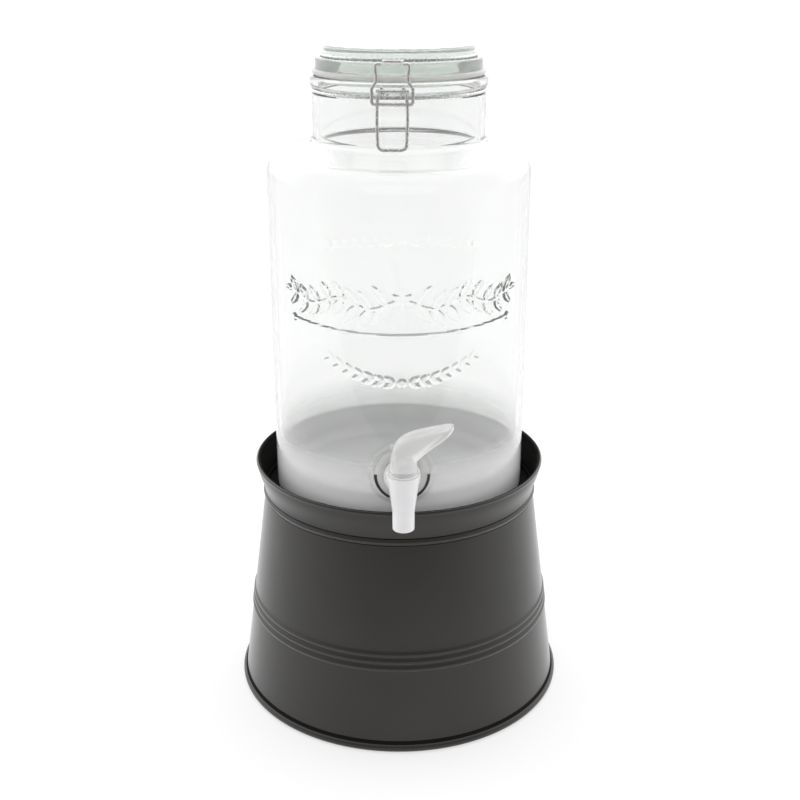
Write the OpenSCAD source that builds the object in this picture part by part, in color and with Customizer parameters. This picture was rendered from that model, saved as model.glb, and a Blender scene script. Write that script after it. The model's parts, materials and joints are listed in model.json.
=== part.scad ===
// Beverage dispenser: a clamp-lid glass jar with a tap, standing in a painted sheet-metal stand.
// Millimetres, +Z up. The origin is on the stand's axis, at the level of the surface it stands on.
// The tap points to -Y. The wire closure sits turned about the neck by closure_turn.

/* [Stand] */
// Outer diameter over the rolled foot
foot_d = 247.6; // [240:0.2:252]
// Outer diameter of the skirt at its top edge
skirt_top_d = 202.3; // [200:0.1:204]
// Height of the skirt, up to the collar
skirt_h = 153; // [148:1:156]
// Thickness of the stand's sheet metal
sheet_t = 0.8; // [0.6:0.1:1]
// Diameter of the roll at the foot
foot_roll_d = 6.4; // [5.8:0.1:6.8]
// Number of swaged beads around the skirt
bead_count = 3; // [1:1:4]
// Height of the lowest swaged bead
bead_z = 62.8; // [50:0.1:90]
// Distance between swaged beads
bead_pitch = 5.3; // [5:0.1:7]
// Outer diameter over the rolled rim of the collar
rim_d = 214; // [211:1:216]
// Height of the top of the rolled rim
rim_z = 180.8; // [178:0.1:182]
// Diameter of the roll at the rim
rim_roll_d = 3; // [2.8:0.1:3.2]
// Thickness of the plate that carries the jar
plate_t = 1; // [0.8:0.1:1.2]

/* [Jar] */
// Outer diameter of the jar's body
jar_d = 183; // [180:0.5:185]
// Height of the jar from its base to the top of its lip
jar_h = 302.4; // [300:0.1:310]
// Thickness of the glass wall
jar_wall = 4; // [3.6:0.1:4.4]
// Thickness of the glass base
jar_base_t = 9; // [8:0.5:10]
// Outer diameter of the neck
neck_d = 118.6; // [118:0.1:119]
// Radius of the rounded shoulder
shoulder_r = 16; // [14:1:18]
// Slope of the top of the shoulder, in degrees
shoulder_slope = 20; // [18:1:22]

/* [Lid] */
// Diameter of the lid's flange
lid_d = 113.2; // [112.8:0.1:113.6]
// Diameter of the raised disc on top of the lid
lid_disc_d = 102; // [101.6:0.1:102.2]
// Height of the raised disc
lid_disc_h = 7.7; // [7:0.1:8.2]
// Thickness of the lid's flange
lid_flange_t = 8; // [7.8:0.1:8.4]

/* [Closure] */
// Angle by which the closure sits turned about the neck, in degrees
closure_turn = 5; // [0:1:8]
// Diameter of the steel wire
wire_d = 2.2; // [2.2:0.1:2.4]
// Distance from the latch's upper pivot to its lower one
latch_throw = 8.1; // [7.8:0.1:8.4]
// Length of the latch lever below its upper pivot
lever_l = 36.4; // [34:0.1:37]
// Width of the bail at its foot, between the middles of its wires
bail_w = 26.2; // [26:0.1:27]

/* [Tap] */
// Height of the tap's shank above the surface the stand is on
tap_z = 203; // [201:0.5:205]
// Distance from the stand's axis to the axis of the tap's barrel
tap_reach = 132.7; // [131:0.1:136]
// Diameter of the barrel at its top
barrel_d = 20.8; // [20:0.1:22]
// Diameter of the nozzle
nozzle_d = 14.4; // [14:0.1:15]
// Height of the nozzle's outlet above the surface
nozzle_z = 182; // [180:0.1:184]
// Diameter of the threaded shank through the jar
shank_d = 16; // [15.6:0.1:16]

/* [Hidden] */

$fn = 96;
gap = 0.3;           // between pieces that move apart
fit = 0.06;          // radial clearance of a running fit
steel = "#8d9094";
paint = "#3b3835";
clear = [0.86, 0.9, 0.88, 0.35];
plastic = "#e6e3e4";

// Stand, worked out from the driving sizes
foot_roll_r = foot_roll_d / 2;
foot_roll_z = foot_roll_r - 0.2;      // the roll's underside is pressed flat by 0.2
foot_roll_x = foot_d / 2 - foot_roll_r;
skirt_top_r = skirt_top_d / 2;
skirt_foot_r = foot_roll_x + 1;
skirt_slope = (skirt_foot_r - skirt_top_r) / skirt_h;
bead_r = 2.7;
bead_sink = 1.7;                      // how far a bead's centre lies inside the skirt's face
seam_w = 7;
seam_rise = 0.7;
rim_roll_r = rim_roll_d / 2;
rim_roll_x = rim_d / 2 - rim_roll_r;
rim_roll_z = rim_z - rim_roll_r;
flange_in_r = 88;                     // inner radius of the flanges under the plate
lock_z = skirt_h + 0.4;               // bottom of the collar's bead
lock_h = 4.6;
lock_r = lock_h / 2;
collar_foot_r = skirt_top_r + 0.7;
lock_x = collar_foot_r - lock_r + 0.8;
plate_r = lock_x - lock_r - 0.2;
collar_top_r = rim_d / 2 - 0.6;
plate_z = skirt_h + sheet_t;          // underside of the plate
seat_z = plate_z + plate_t;           // face that the jar stands on

// Jar
jar_r = jar_d / 2;
neck_r = neck_d / 2;
jar_z = seat_z + gap;
lip_z = jar_z + jar_h;
lip_r = neck_r + 1.1;
lip_h = 7.6;
neck_wire_z = lip_z - lip_h - 1.6;
groove_r = 2;
groove_x = neck_r + 0.6;              // where the clasp's groove is centred
heel_r = 10;
heel_in_r = 8;
punt_h = 4;
punt_r = 0.68 * jar_r;                // flat middle of the raised base
ring_r = 0.82 * jar_r;                // ring that the jar stands on
ring_in_r = 0.79 * jar_r;
lip_round = 2;
mouth_cut = 1.2;
turn = 90 - shoulder_slope;
shoulder_z = lip_z - 65.5;            // where the straight wall ends
bore_r = neck_r - jar_wall - 0.3;     // the mouth
pad_r = 20.5;                         // flat boss that the tap seals on
pad_y = -jar_r - 0.8;
hole_r = shank_d / 2 + 0.3;
fillet_r = 3;                         // between the shoulder and the neck

// Lid
wire_r = wire_d / 2;
gasket_h = 4;
gasket_z = lip_z + gap;
flange_z = gasket_z + gasket_h;
step_z = flange_z + lid_flange_t;
lid_top_z = step_z + lid_disc_h;
plug_r = bore_r - 2.4;
plug_h = 8;                           // how far the lid's rim reaches into the mouth
rim_t = 4.4;                          // thickness of that rim at the flange
edge_r = 1.4;
dome_z = step_z + 0.6;                // ceiling of the hollow under the lid
lid_wire_r = lid_disc_d / 2 + wire_r + 0.2;
lid_wire_z = step_z + wire_r + 0.05;

// Closure pivots: the hinge behind, and the latch's two pivots in front
hinge_y = 65.5;
hinge_z = lip_z - 3;
latch_y = -63.5;
latch_z = lip_z - 4.6;
lever_lean = 0.075;                   // outward for each unit downward
throw_y = latch_y - latch_throw * lever_lean;
throw_z = latch_z - latch_throw;
neck_ring_r = neck_r + 0.1;
ball_cut = 0.2 * wire_r;
arm_r = wire_r - 0.1;                 // arms that end in a ring are a little thinner
eye_r = wire_r + 1.5;
eye_w = 2.8;
eye_top_x = 8.1;
eye_low_x = 9.9;
catch_x = 6;                          // half the width of the lid wire's front loop
pivot_arm_x = 5;                      // arms from the neck ring to the latch's pivot bar
hinge_arm_x = 7.4;                    // arms from the neck ring to the hinge pin
lid_arm_x = 3.6;                      // arms from the lid wire to the hinge pin
pivot_bar_l = 2 * eye_top_x + eye_w + 0.8;
hinge_pin_l = 2 * hinge_arm_x + 2.4;
loop_y = latch_y + 2.2;               // front of the lid wire's loop
loop_bend = 2;
grip_bend = 3.6;                      // bend at the lever's foot
bail_bend = 1.8;

// Tap
barrel_top_z = tap_z + 17.4;
shank_r = shank_d / 2;
washer_t = 2.5;
washer_r = 19;
washer_in_r = 15;                     // washer inside the jar
tap_flange_y = pad_y - washer_t;
tap_flange_t = 3;
arm_d = 16;
boss_l = 6;
boss_r = 11;                          // thick root of the arm, on the flange
shank_end_y = -jar_r + 21;
plug_bore_r = 5.6;
tap_plug_r = plug_bore_r - 0.08;
taper_z = tap_z - 9.2;                // where the barrel's taper meets the nozzle
taper_top_z = tap_z + 15;
plug_foot_z = tap_z - 5.8;            // floor of the bore that the plug turns in
nozzle_bore_r = nozzle_d / 2 - 2.2;
inlet_r = 3.4;
tap_flange_r = 12.5;
nut_r = 14.5;
nut_h = 7.1;
nut_y = -jar_r + jar_wall + 13.2;     // far face of the nut
knob_r = 9;
knob_h = 14.3;
cap_h = 2.6;
paddle_reach = 31.8;
paddle_rise = 33.9;
paddle_w = 15;
lever_z = barrel_top_z + gap;         // underside of the lever's cap
plug_z = plug_foot_z + gap - lever_z; // foot of the plug, from there
seal_z = -5;
seal_r = 0.5;
seal_groove_h = 1.8;

function arc(cx, cy, r, a0, a1, n = 8) =
    [for (i = [0:n]) let (a = a0 + (a1 - a0) * i / n) [cx + r * cos(a), cy + r * sin(a)]];
function ease(t) = t * t * (3 - 2 * t);
function mix(a, b, t) = a + (b - a) * t;
function unit(v) = v / norm(v);
function bezier(p, t) =
    p[0] * pow(1 - t, 3) + 3 * p[1] * t * pow(1 - t, 2) + 3 * p[2] * t * t * (1 - t) + p[3] * pow(t, 3);
function skirt_r(z) = skirt_foot_r - skirt_slope * z;
function bead_height(i) = bead_z + i * bead_pitch;

// The points that round one corner of a path, or the corner itself where the bend is slight
function corner(a, b, c, bend, n) =
    let (d = unit(b - a), e = unit(c - b), phi = acos(d * e), inward = unit(e - d * cos(phi)))
    phi < 40 ? [b] :
    [for (k = [0:n]) b - d * bend * tan(phi / 2) + inward * bend * (1 - cos(phi * k / n))
                       + d * bend * sin(phi * k / n)];

function rounded(p, bend, n) =
    concat([p[0]],
           [for (i = [1:1:len(p) - 2]) each corner(p[i - 1], p[i], p[i + 1], bend, n)],
           [p[len(p) - 1]]);

// A round wire along a path. Balls a little thicker than the wire join its straight lengths.
module wire(path, bend = 2.4, r = wire_r, n = 2) {
    points = rounded(path, bend, n);
    last = len(points) - 1;
    for (i = [0:last - 1]) {
        d = unit(points[i + 1] - points[i]);
        start = i == 0 ? 0 : ball_cut;
        end = i == last - 1 ? 0 : ball_cut;
        translate(points[i] + d * start)
            rotate([0, acos(d[2]), atan2(d[1], d[0])])
                cylinder(r = r, h = norm(points[i + 1] - points[i]) - start - end, $fn = 32);
        if (i > 0) translate(points[i]) sphere(r = r * 1.05, $fn = 32);
    }
}

// A cylinder that lies along X, centred on a point
module across(at, r, w) {
    translate(at) rotate([0, 90, 0]) cylinder(r = r, h = w, center = true, $fn = 48);
}

// A cylinder that points along -Y from y0 to y1
module toward(r, y0, y1, z = tap_z) {
    translate([0, y0, z]) rotate([90, 0, 0]) cylinder(r = r, h = y0 - y1);
}

module closure() {
    rotate([0, 0, -closure_turn]) children();
}

// ---- Stand ----

// The area inside the skirt's face, moved inward by inset
module skirt_area(inset, bead) {
    polygon([[0, foot_roll_z], [skirt_r(foot_roll_z) - inset, foot_roll_z],
             [skirt_r(skirt_h) - inset, skirt_h], [0, skirt_h]]);
    for (i = [0:bead_count - 1])
        translate([skirt_r(bead_height(i)) - bead_sink, bead_height(i)])
            circle(r = bead, $fn = 48);
}

module skirt_sheet() {
    difference() {
        skirt_area(0, bead_r);
        skirt_area(sheet_t, bead_r - sheet_t);
        translate([foot_roll_x, foot_roll_z]) circle(r = foot_roll_r - sheet_t, $fn = 48);
    }
}

module foot_roll() {
    intersection() {
        difference() {
            translate([foot_roll_x, foot_roll_z]) circle(r = foot_roll_r, $fn = 64);
            translate([foot_roll_x, foot_roll_z]) circle(r = foot_roll_r - sheet_t, $fn = 64);
        }
        translate([foot_roll_x - 10, 0]) square([20, 20]);
    }
}

module stand_skirt() {
    color(paint) {
        rotate_extrude() {
            skirt_sheet();
            foot_roll();
            translate([flange_in_r, skirt_h - sheet_t])
                square([skirt_top_r - flange_in_r - sheet_t / 2, sheet_t]);
        }
        // The lap of the sheet's ends, at the back
        intersection() {
            rotate_extrude() difference() {
                skirt_area(-seam_rise, bead_r + seam_rise);
                skirt_area(sheet_t / 2, bead_r - sheet_t / 2);
            }
            translate([-seam_w / 2, 90, foot_roll_z + foot_roll_r - 1])
                cube([seam_w, 60, skirt_h - 2 * foot_roll_r]);
        }
    }
}

module foot_wire() {
    color(steel)
        rotate_extrude()
            translate([foot_roll_x, foot_roll_z]) circle(r = foot_roll_r - sheet_t - 0.05, $fn = 48);
}

function collar_outline(inset, n = 12) =
    [for (i = [0:n]) let (t = i / n)
        [mix(collar_foot_r, collar_top_r, ease(t)) - inset,
         mix(lock_z + lock_h - 0.6, rim_roll_z, t)]];

module collar_area(inset) {
    polygon(concat([[0, lock_z + lock_h - 0.6]], collar_outline(inset), [[0, rim_roll_z]]));
}

module stand_collar() {
    color(paint)
        rotate_extrude() {
            difference() {
                collar_area(0);
                collar_area(sheet_t);
                translate([rim_roll_x, rim_roll_z]) circle(r = rim_roll_r - sheet_t, $fn = 32);
            }
            // Rolled rim
            difference() {
                translate([rim_roll_x, rim_roll_z]) circle(r = rim_roll_r, $fn = 48);
                translate([rim_roll_x, rim_roll_z]) circle(r = rim_roll_r - sheet_t, $fn = 48);
            }
            // Bead that locks over the skirt's edge, with the flange under the plate
            difference() {
                translate([lock_x, lock_z + lock_r]) circle(r = lock_r, $fn = 48);
                translate([lock_x, lock_z + lock_r]) circle(r = lock_r - sheet_t, $fn = 48);
            }
            translate([flange_in_r, skirt_h]) square([lock_x - flange_in_r, sheet_t]);
        }
}

module rim_wire() {
    color(steel)
        rotate_extrude()
            translate([rim_roll_x, rim_roll_z]) circle(r = rim_roll_r - sheet_t - 0.05, $fn = 32);
}

module stand_plate() {
    color(paint)
        translate([0, 0, plate_z])
            cylinder(r = plate_r, h = plate_t, $fn = 128);
}

// ---- Jar ----

function slope_z(x, r) =
    shoulder_z + r * sin(turn) + (jar_r - shoulder_r + r * cos(turn) - x) * tan(shoulder_slope);

fillet_x = neck_r + fillet_r * (1 - sin(shoulder_slope));
fillet_z = slope_z(fillet_x, shoulder_r) + fillet_r * cos(shoulder_slope);

// The outside runs from the middle of the base up to the lip
function jar_outside() = concat(
    [[0, jar_z + punt_h], [punt_r, jar_z + punt_h], [ring_in_r, jar_z + 1], [ring_r, jar_z]],
    arc(jar_r - heel_r, jar_z + heel_r, heel_r, -90, 0),
    arc(jar_r - shoulder_r, shoulder_z, shoulder_r, 0, turn, 12),
    arc(neck_r + fillet_r, fillet_z, fillet_r, 270 - shoulder_slope, 180, 4),
    arc(groove_x, neck_wire_z, groove_r, 250, 110, 8),
    [[lip_r - 0.8, lip_z - lip_h + 0.4]],
    [[lip_r, lip_z - lip_h + 1.4]],
    arc(lip_r - lip_round, lip_z - lip_round, lip_round, 0, 90, 5));

function jar_inside() = concat(
    [[bore_r + mouth_cut, lip_z], [bore_r, lip_z - mouth_cut]],
    [[bore_r, slope_z(bore_r, shoulder_r - jar_wall) - 0.2]],
    arc(jar_r - shoulder_r, shoulder_z, shoulder_r - jar_wall, turn, 0, 10),
    arc(jar_r - jar_wall - heel_in_r, jar_z + jar_base_t + heel_in_r, heel_in_r, 0, -90, 6),
    [[0, jar_z + jar_base_t]]);

module jar_glass() {
    color(clear)
        difference() {
            union() {
                rotate_extrude($fn = 128) polygon(concat(jar_outside(), jar_inside()));
                // Flat boss for the tap
                difference() {
                    toward(pad_r, -jar_r + 6, pad_y);
                    translate([0, 0, tap_z - 1.5 * pad_r])
                        cylinder(r = jar_r - jar_wall / 2, h = 3 * pad_r);
                }
            }
            toward(hole_r, -jar_r + 12, pad_y - 2);
        }
}

// ---- Closure ----

module neck_wire() {
    color(steel) closure() {
        translate([0, 0, neck_wire_z]) rotate_extrude($fn = 128)
            translate([neck_ring_r, 0]) circle(r = wire_r, $fn = 32);
        // Arms to the latch's pivot bar, and to the hinge pin
        for (s = [-1, 1]) {
            wire([[s * pivot_arm_x, 0.3 - neck_ring_r, neck_wire_z],
                  [s * pivot_arm_x, latch_y + 1.4, neck_wire_z + 1.1],
                  [s * pivot_arm_x, latch_y, latch_z]], loop_bend, arm_r);
            wire([[s * hinge_arm_x, neck_ring_r - 0.9, neck_wire_z],
                  [s * hinge_arm_x, hinge_y, neck_wire_z],
                  [s * hinge_arm_x, hinge_y, hinge_z]], r = arm_r);
        }
        across([0, latch_y, latch_z], wire_r, pivot_bar_l);
        across([0, hinge_y, hinge_z], wire_r, hinge_pin_l);
    }
}

module lid_glass() {
    disc_r = lid_disc_d / 2;
    flange_r = lid_d / 2;
    color(clear) closure()
        rotate_extrude($fn = 128) polygon(concat(
            [[0, lid_top_z]],
            arc(disc_r - edge_r, lid_top_z - edge_r, edge_r, 90, 0, 5),
            [[disc_r, step_z]],
            arc(flange_r - edge_r, step_z - edge_r, edge_r, 90, 0, 5),
            arc(flange_r - 1, flange_z + 1, 1, 0, -90, 3),
            [[plug_r + 0.8, flange_z], [plug_r, flange_z - plug_h + 1.5]],
            arc(plug_r - 1.2, flange_z - plug_h + 1.2, 1.2, 0, -90, 4),
            [[plug_r - 3, flange_z - plug_h], [plug_r - rim_t, flange_z]],
            [[plug_r - 7, step_z - 1.6], [plug_r - 11, dome_z], [0, dome_z]]));
}

module lid_gasket() {
    inner_r = plug_r + 1.3;
    outer_r = lid_d / 2 + 1.9;
    color([0.93, 0.93, 0.9]) closure()
        rotate_extrude($fn = 128) polygon(concat(
            [[inner_r, flange_z], [inner_r, gasket_z]],
            arc(outer_r - edge_r, gasket_z + edge_r, edge_r, -90, 0, 4),
            arc(outer_r - edge_r, flange_z - edge_r, edge_r, 0, 90, 4)));
}

module lid_wire() {
    color(steel) closure()
        difference() {
            union() {
                translate([0, 0, lid_wire_z]) rotate_extrude($fn = 128)
                    translate([lid_wire_r, 0]) circle(r = wire_r, $fn = 32);
                // Arms down to the eyes on the hinge pin
                for (s = [-1, 1]) {
                    wire([[s * lid_arm_x, lid_wire_r - 0.3, lid_wire_z],
                          [s * lid_arm_x, hinge_y, lid_wire_z],
                          [s * lid_arm_x, hinge_y, hinge_z + wire_r + 0.6]], 3, arm_r);
                    across([s * lid_arm_x, hinge_y, hinge_z], eye_r, eye_w);
                }
                // Front loop that the bail's hooks reach for
                wire([[-catch_x, 0.4 - lid_wire_r, lid_wire_z],
                      [-catch_x, loop_y, lid_wire_z],
                      [catch_x, loop_y, lid_wire_z],
                      [catch_x, 0.4 - lid_wire_r, lid_wire_z]], loop_bend, arm_r);
            }
            across([0, hinge_y, hinge_z], wire_r + fit, 2 * lid_arm_x + 2 * eye_w);
        }
}

// The lever hangs from the neck wire's pivot bar. Its loop narrows and leans out towards its foot.
function lever_point(x, drop) = [x, latch_y - drop * lever_lean, latch_z - drop];

// A half path with its mirror image, end to end
function mirrored(half) =
    concat(half, [for (i = [len(half) - 1:-1:0]) [-half[i][0], half[i][1], half[i][2]]]);

module latch_lever() {
    half = [lever_point(eye_top_x, wire_r + 0.6),
            lever_point(eye_low_x, latch_throw),
            lever_point(eye_low_x - 0.1, 19),
            lever_point(eye_low_x - 0.8, lever_l)];
    color(steel) closure()
        difference() {
            union() {
                wire(mirrored(half), grip_bend, wire_r, 3);
                for (s = [-1, 1]) {
                    across([s * eye_top_x, latch_y, latch_z], eye_r, eye_w);
                    across([s * eye_low_x, throw_y, throw_z], eye_r, eye_w);
                }
            }
            across([0, latch_y, latch_z], wire_r + fit, 2 * eye_top_x + 2 * eye_w);
            across([0, throw_y, throw_z], wire_r + fit, 2 * eye_low_x + 2 * eye_w);
        }
}

// The bail's foot passes through the lever's lower eyes, and its hooks reach in over the lid wire.
module latch_bail() {
    top_z = lid_wire_z - 1.4;
    half = [[catch_x + arm_r + gap, throw_y, top_z],
            [bail_w / 2 - 2.1, throw_y, top_z],
            [bail_w / 2 - 3.1, throw_y, latch_z + 8],
            [bail_w / 2 - 3, throw_y, latch_z + 6],
            [bail_w / 2, throw_y, latch_z + 1.6],
            [bail_w / 2, throw_y, throw_z]];
    color(steel) closure()
        wire(mirrored(half), bail_bend);
}

// ---- Tap ----

module tap_body() {
    color(plastic)
        difference() {
            union() {
                // Barrel, its taper and the nozzle
                translate([0, -tap_reach, 0]) {
                    translate([0, 0, taper_top_z])
                        cylinder(r = barrel_d / 2, h = barrel_top_z - taper_top_z);
                    translate([0, 0, taper_z])
                        cylinder(r1 = nozzle_d / 2 + 0.2, r2 = barrel_d / 2, h = taper_top_z - taper_z);
                    translate([0, 0, nozzle_z]) cylinder(r = nozzle_d / 2, h = taper_z - nozzle_z + 1);
                }
                // Arm, flange and shank
                toward(arm_d / 2, tap_flange_y - 1, -tap_reach + 2);
                toward(boss_r, tap_flange_y, tap_flange_y - boss_l);
                toward(tap_flange_r, tap_flange_y, tap_flange_y - tap_flange_t);
                toward(shank_r, shank_end_y, tap_flange_y - 1);
            }
            translate([0, -tap_reach, plug_foot_z]) cylinder(r = plug_bore_r, h = 40);
            translate([0, -tap_reach, nozzle_z - 1])
                cylinder(r = nozzle_bore_r, h = plug_foot_z - nozzle_z + 2);
            toward(inlet_r, shank_end_y + 1, -tap_reach);
        }
}

module tap_outer_washer() {
    color("#6f7270")
        difference() {
            toward(washer_r, pad_y, tap_flange_y);
            toward(shank_r + 0.1, pad_y + 1, tap_flange_y - 1);
        }
}

// The inner washer takes the curve of the glass
module tap_inner_washer() {
    face_y = -jar_r + jar_wall + 6;
    color("#6f7270")
        difference() {
            intersection() {
                toward(washer_in_r, face_y, -jar_r);
                translate([0, 0, tap_z - 20]) cylinder(r = jar_r - jar_wall - 0.02, h = 40, $fn = 128);
            }
            toward(shank_r + 0.1, face_y + 1, -jar_r - 1);
        }
}

module tap_nut() {
    color(plastic)
        difference() {
            union() {
                translate([0, nut_y, tap_z]) rotate([90, 0, 0]) cylinder(r = nut_r, h = nut_h, $fn = 6);
                // Round face that presses on the washer
                toward(nut_r + 0.1, nut_y - nut_h + 1.7, nut_y - nut_h - 0.1);
            }
            toward(shank_r + 0.05, nut_y + 1, nut_y - nut_h - 1);
        }
}

// Side view of the lever's paddle: a wedge that sweeps up from the knob to its tip
module paddle_area() {
    back = -knob_r + 1.2;
    front = knob_r - 1;
    top = [[back, knob_h], [-3, 32.3], [14, 29.3], [paddle_reach - 1, paddle_rise]];
    low = [[paddle_reach, paddle_rise - 3], [27, 25], [17, 19.5], [front, 10]];
    polygon(concat([[back, 4]],
                   [for (i = [0:10]) bezier(top, i / 10)],
                   [for (i = [0:10]) bezier(low, i / 10)],
                   [[front, 4]]));
}

module tap_lever() {
    port_z = tap_z - lever_z;
    color(clear)
        translate([0, -tap_reach, lever_z])
            difference() {
                union() {
                    // Plug in the barrel, with its cap and knob
                    translate([0, 0, plug_z]) cylinder(r = tap_plug_r, h = 1 - plug_z);
                    cylinder(r = barrel_d / 2 - 0.6, h = cap_h);
                    cylinder(r = knob_r, h = knob_h);
                    intersection() {
                        translate([0, paddle_w / 2, 0]) rotate([90, 0, 0])
                            linear_extrude(paddle_w) paddle_area();
                        union() {
                            translate([-knob_r, -paddle_w / 2 - 1, 0])
                                cube([knob_r + paddle_reach - paddle_w / 2, paddle_w + 2, 50]);
                            translate([paddle_reach - paddle_w / 2, 0, 0])
                                cylinder(r = paddle_w / 2 - 0.02, h = 50);
                        }
                    }
                }
                // Port: in from one side, out at the bottom
                translate([0, 0, port_z]) rotate([0, -90, 0]) cylinder(r = inlet_r, h = 20);
                translate([0, 0, plug_z - 1]) cylinder(r = inlet_r - 0.2, h = port_z - plug_z + 1);
                // Groove for the seal
                translate([0, 0, seal_z - seal_groove_h / 2]) difference() {
                    cylinder(r = tap_plug_r + 1, h = seal_groove_h);
                    translate([0, 0, -1]) cylinder(r = tap_plug_r - 1.1, h = seal_groove_h + 2);
                }
            }
}

module tap_seal() {
    color("#3a3a3a")
        translate([0, -tap_reach, lever_z + seal_z])
            rotate_extrude() translate([tap_plug_r - seal_r - 0.05, 0]) circle(r = seal_r, $fn = 24);
}

stand_skirt();
stand_collar();
stand_plate();
foot_wire();
rim_wire();
jar_glass();
neck_wire();
lid_glass();
lid_gasket();
lid_wire();
latch_lever();
latch_bail();
tap_body();
tap_outer_washer();
tap_inner_washer();
tap_nut();
tap_lever();
tap_seal();
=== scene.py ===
import json
import math

import bmesh
import bpy
import numpy as np
from mathutils import Matrix, Vector


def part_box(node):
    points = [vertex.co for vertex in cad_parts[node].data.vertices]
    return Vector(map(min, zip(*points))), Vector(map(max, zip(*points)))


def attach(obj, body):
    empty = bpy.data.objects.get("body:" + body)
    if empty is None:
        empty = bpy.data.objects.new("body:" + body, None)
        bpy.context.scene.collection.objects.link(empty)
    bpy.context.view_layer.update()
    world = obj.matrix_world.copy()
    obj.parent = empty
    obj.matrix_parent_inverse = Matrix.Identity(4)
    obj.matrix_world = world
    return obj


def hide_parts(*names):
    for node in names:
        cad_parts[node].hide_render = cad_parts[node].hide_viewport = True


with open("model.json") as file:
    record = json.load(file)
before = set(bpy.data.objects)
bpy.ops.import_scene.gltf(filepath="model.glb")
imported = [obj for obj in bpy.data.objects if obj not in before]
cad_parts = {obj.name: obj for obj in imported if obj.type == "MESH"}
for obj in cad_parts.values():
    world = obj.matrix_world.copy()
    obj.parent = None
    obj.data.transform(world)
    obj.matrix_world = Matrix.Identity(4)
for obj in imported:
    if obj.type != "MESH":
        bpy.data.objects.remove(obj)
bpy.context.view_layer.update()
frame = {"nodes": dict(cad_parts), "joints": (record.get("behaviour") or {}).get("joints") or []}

MM = 0.001
JOINTS = {j["name"]: j for j in frame["joints"]}

# ---- Places and sizes, in millimetres, from the frame ----


def box_mm(node):
    low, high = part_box(node)
    return low / MM, high / MM


def joint_mm(name):
    return Vector(JOINTS[name]["pos_m"]) / MM


skirt_high = box_mm("stand_skirt")[1]
collar_high = box_mm("stand_collar")[1]
plate_low, plate_high = box_mm("stand_plate")
jar_low, jar_high = box_mm("jar_glass")
lid_high = box_mm("lid_glass")[1]
gasket_low, gasket_high = box_mm("lid_gasket")
washer_low, washer_high = box_mm("tap_outer_washer")
tap_low, tap_high = box_mm("tap_body")

JAR_R = jar_high.x
JAR_Z = jar_low.z
LIP_Z = jar_high.z
PAD_Y = jar_low.y            # flat face of the jar that the tap's washer seals on
NECK_R = 59.3
WALL = 4.0

# The closure is turned a little about the neck, so its lengths are taken along its own Y axis
hinge = joint_mm("lid_hinge")
latch = joint_mm("latch_swing")
throw = joint_mm("bail_swing")
axis = Vector(JOINTS["lid_hinge"]["axis"])
CLOSURE_TURN = math.atan2(-axis.y, -axis.x)
LATCH_Y = -math.hypot(latch.x, latch.y)
THROW_Y = -math.hypot(throw.x, throw.y)
HINGE_Y = math.hypot(hinge.x, hinge.y)

WIRE_R = 1.1
ARM_R = 1.0                  # radius of the thinner wires of the closure
FIT = 0.06                   # clearance between a wire and the eye that it turns in

TAP_Z = (washer_low.z + washer_high.z) / 2
BARREL_Y = joint_mm("tap_turn").y


# ---- Mesh helpers ----

SHARP = math.radians(40)


def link(name, mesh):
    obj = bpy.data.objects.new(name, mesh)
    bpy.context.scene.collection.objects.link(obj)
    return obj


def smooth(mesh):
    mesh.shade_smooth()
    mesh.set_sharp_from_angle(angle=SHARP)


def finish_mesh(name, bm):
    """Turns a bmesh in millimetres into a smooth-shaded object in metres."""
    bmesh.ops.remove_doubles(bm, verts=bm.verts, dist=1e-5)
    bmesh.ops.recalc_face_normals(bm, faces=bm.faces)
    bmesh.ops.scale(bm, vec=(MM, MM, MM), verts=bm.verts)
    mesh = bpy.data.meshes.new(name)
    bm.to_mesh(mesh)
    bm.free()
    smooth(mesh)
    return link(name, mesh)


def combine(piece, tool, operation):
    """Joins a solid to a piece, or cuts it out of the piece, and removes the solid."""
    change = piece.modifiers.new("change", "BOOLEAN")
    change.operation = operation
    change.solver = "EXACT"
    change.object = tool
    graph = bpy.context.evaluated_depsgraph_get()
    piece.data = bpy.data.meshes.new_from_object(piece.evaluated_get(graph))
    piece.modifiers.clear()
    bpy.data.objects.remove(tool)
    smooth(piece.data)


def filleted(corners, steps=6, support=0.25):
    """A line through (r, z) corners. A third number rounds its corner by that radius."""
    line = []
    last = len(corners) - 1
    for i, corner in enumerate(corners):
        here = Vector(corner[:2])
        radius = corner[2] if len(corner) > 2 else 0
        if radius == 0 or i in (0, last):
            line.append(here)
            continue
        back = (Vector(corners[i - 1][:2]) - here).normalized()
        on = (Vector(corners[i + 1][:2]) - here).normalized()
        half = back.angle(on) / 2
        reach = radius / math.tan(half)
        centre = here + (back + on).normalized() * (radius / math.sin(half))
        start = here + back * reach
        end = here + on * reach
        a, b = start - centre, end - centre
        turn = a.angle_signed(b)
        line.append(start + back * support)
        for k in range(steps + 1):
            line.append(centre + Matrix.Rotation(-turn * k / steps, 2) @ a)
        line.append(end + on * support)
    return line


def ease(t):
    return t * t * (3 - 2 * t)


def arc(centre, radius, start, end, steps):
    """Points of an arc about a point, from one angle to another, in degrees."""
    points = []
    for k in range(steps + 1):
        a = math.radians(start + (end - start) * k / steps)
        points.append(centre + Vector((math.cos(a), math.sin(a))) * radius)
    return points


def join_rings(bm, rings, closed=False):
    """Covers a row of rings of points with four-sided faces."""
    pairs = list(zip(rings, rings[1:]))
    if closed:
        pairs.append((rings[-1], rings[0]))
    for low, high in pairs:
        count = len(low)
        for i in range(count):
            j = (i + 1) % count
            bm.faces.new((low[i], low[j], high[j], high[i]))


def close_ends(bm, rings):
    bm.faces.new(rings[0][::-1])
    bm.faces.new(rings[-1])


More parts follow.
